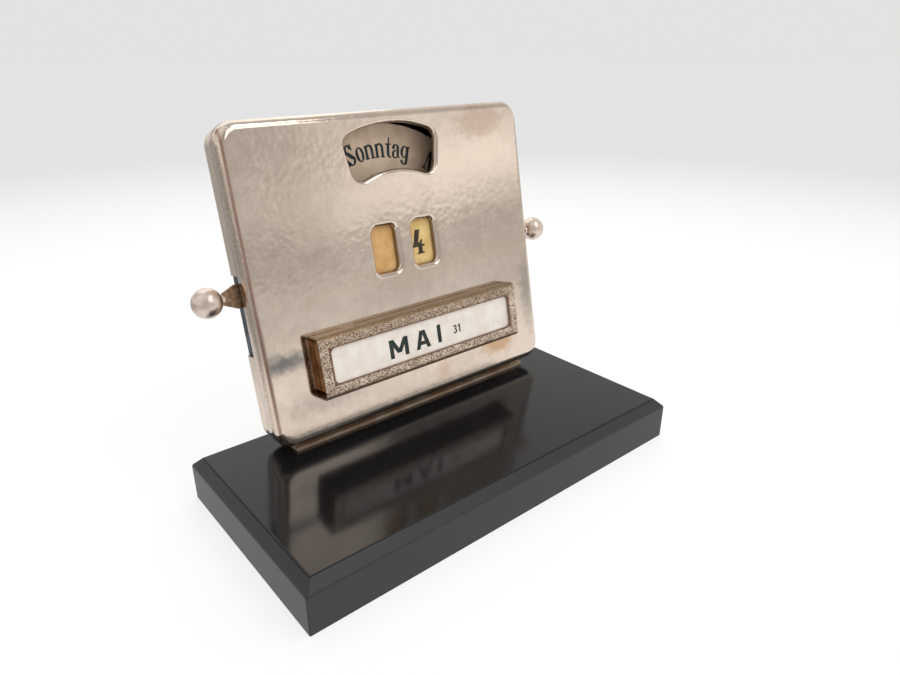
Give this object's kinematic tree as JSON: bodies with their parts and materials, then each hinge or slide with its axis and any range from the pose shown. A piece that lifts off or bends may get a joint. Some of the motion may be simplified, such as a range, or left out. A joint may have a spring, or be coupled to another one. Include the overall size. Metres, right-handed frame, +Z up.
{
  "type": "perpetual desk calendar",
  "caption": "Desk calendar: a leaning sheet-metal case on a chamfered black slab, with an arched weekday window, two date windows, a month card sleeve and side levers with ball knobs.",
  "frame": {"origin": "middle of the slab's flat underside, on the surface that the object stands on", "axes": "+X to the object's right as seen from its face side, along the slab's length; +Y from the face to the back; +Z up"},
  "size_m": [0.1621, 0.0919, 0.1249],
  "materials": {
    "nickel_case": "polished nickel plate, aged, with small pits",
    "worn_nickel": "worn nickel plate with brown pits",
    "steel": "bright steel",
    "brass": "plain brass",
    "bronze_arm": "brown tarnished brass",
    "knob_nickel": "satin nickel",
    "slab_black": "black stone, polished on top and honed at the sides",
    "disc_grey": "grey-beige paint with dark letters",
    "disc_yellow": "yellowed celluloid with dark digits",
    "disc_orange": "orange-yellow celluloid",
    "card": "off-white card with dark print"
  },
  "bodies": {
    "stand": {"base_block": "slab_black", "foot_bracket": "steel", "base_screw_left": "steel", "base_screw_right": "steel", "front_shell": "nickel_case", "rear_shell": "nickel_case", "card_holder": "worn_nickel", "movement_plate": "steel", "main_arbor": "steel", "main_clip": "steel", "tens_arbor": "steel", "tens_clip": "steel", "left_stud": "steel", "left_clip": "steel", "right_return_spring": "steel", "left_return_spring": "steel", "weekday_detent": "steel", "units_detent": "steel", "tens_detent": "steel", "pillar_lower_left": "brass", "case_screw_lower_left": "steel", "pillar_lower_right": "brass", "case_screw_lower_right": "steel", "pillar_upper_left": "brass", "case_screw_upper_left": "steel", "pillar_upper_right": "brass", "case_screw_upper_right": "steel"},
    "weekday_wheel": {"weekday_disc": "disc_grey", "weekday_ratchet": "brass"},
    "units_wheel": {"units_arbor": "steel", "units_disc": "disc_yellow", "units_ratchet": "brass", "carry_finger": "steel"},
    "tens_wheel": {"tens_disc": "disc_orange", "tens_ratchet": "brass"},
    "carry_arm": {"carry_lever": "steel"},
    "right_arm": {"right_lever": "bronze_arm", "right_knob": "knob_nickel"},
    "left_arm": {"left_lever": "bronze_arm", "left_knob": "knob_nickel"},
    "right_catch": {"right_pawl": "steel"},
    "left_catch": {"left_pawl": "steel"},
    "month_card_body": {"month_card": "card"},
    "spare_card_1_body": {"spare_card_1": "card"},
    "spare_card_2_body": {"spare_card_2": "card"},
    "spare_card_3_body": {"spare_card_3": "card"},
    "spare_card_4_body": {"spare_card_4": "card"},
    "spare_card_5_body": {"spare_card_5": "card"}
  },
  "joints": [
    {"name": "weekday_turn", "type": "hinge", "parent": "stand", "child": "weekday_wheel", "pos_m": [0.0044, 0.03657, 0.07106], "axis": [0, -0.981, 0.1942], "continuous": true},
    {"name": "units_turn", "type": "hinge", "parent": "stand", "child": "units_wheel", "pos_m": [0.0352, 0.02981, 0.07811], "axis": [0, 0.981, -0.1942], "continuous": true},
    {"name": "tens_turn", "type": "hinge", "parent": "stand", "child": "tens_wheel", "pos_m": [-0.0264, 0.02981, 0.07811], "axis": [0, 0.981, -0.1942], "continuous": true},
    {"name": "carry_rock", "type": "hinge", "parent": "stand", "child": "carry_arm", "pos_m": [0.0044, 0.03039, 0.07229], "axis": [0, 0.981, -0.1942], "range_deg": [-8, 8], "stiffness_Nm_per_rad": 0.0002},
    {"name": "right_lever_press", "type": "hinge", "parent": "stand", "child": "right_arm", "pos_m": [0.0044, 0.03382, 0.07161], "axis": [0, 0.981, -0.1942], "range_deg": [0, 14.5], "stiffness_Nm_per_rad": 0.05, "springref_deg": -20.05},
    {"name": "left_lever_press", "type": "hinge", "parent": "stand", "child": "left_arm", "pos_m": [-0.0276, 0.03382, 0.07161], "axis": [0, -0.981, 0.1942], "range_deg": [0, 28], "stiffness_Nm_per_rad": 0.05, "springref_deg": -20.05},
    {"name": "right_pawl_swing", "type": "hinge", "parent": "right_arm", "child": "right_catch", "pos_m": [0.056, 0.03483, 0.06998], "axis": [0, 0.981, -0.1942], "range_deg": [0, 10], "stiffness_Nm_per_rad": 0.0001, "springref_deg": -17.19},
    {"name": "left_pawl_swing", "type": "hinge", "parent": "left_arm", "child": "left_catch", "pos_m": [-0.0126, 0.03483, 0.06998], "axis": [0, -0.981, 0.1942], "range_deg": [0, 10], "stiffness_Nm_per_rad": 0.0001, "springref_deg": -17.19},
    {"name": "month_card_slide", "type": "slide", "parent": "stand", "child": "month_card_body", "axis": [1, 0, 0], "range_m": [-0.08, 0.08]},
    {"name": "spare_card_1_slide", "type": "slide", "parent": "stand", "child": "spare_card_1_body", "axis": [1, 0, 0], "range_m": [-0.08, 0.08]},
    {"name": "spare_card_2_slide", "type": "slide", "parent": "stand", "child": "spare_card_2_body", "axis": [1, 0, 0], "range_m": [-0.08, 0.08]},
    {"name": "spare_card_3_slide", "type": "slide", "parent": "stand", "child": "spare_card_3_body", "axis": [1, 0, 0], "range_m": [-0.08, 0.08]},
    {"name": "spare_card_4_slide", "type": "slide", "parent": "stand", "child": "spare_card_4_body", "axis": [1, 0, 0], "range_m": [-0.08, 0.08]},
    {"name": "spare_card_5_slide", "type": "slide", "parent": "stand", "child": "spare_card_5_body", "axis": [1, 0, 0], "range_m": [-0.08, 0.08]}
  ]
}
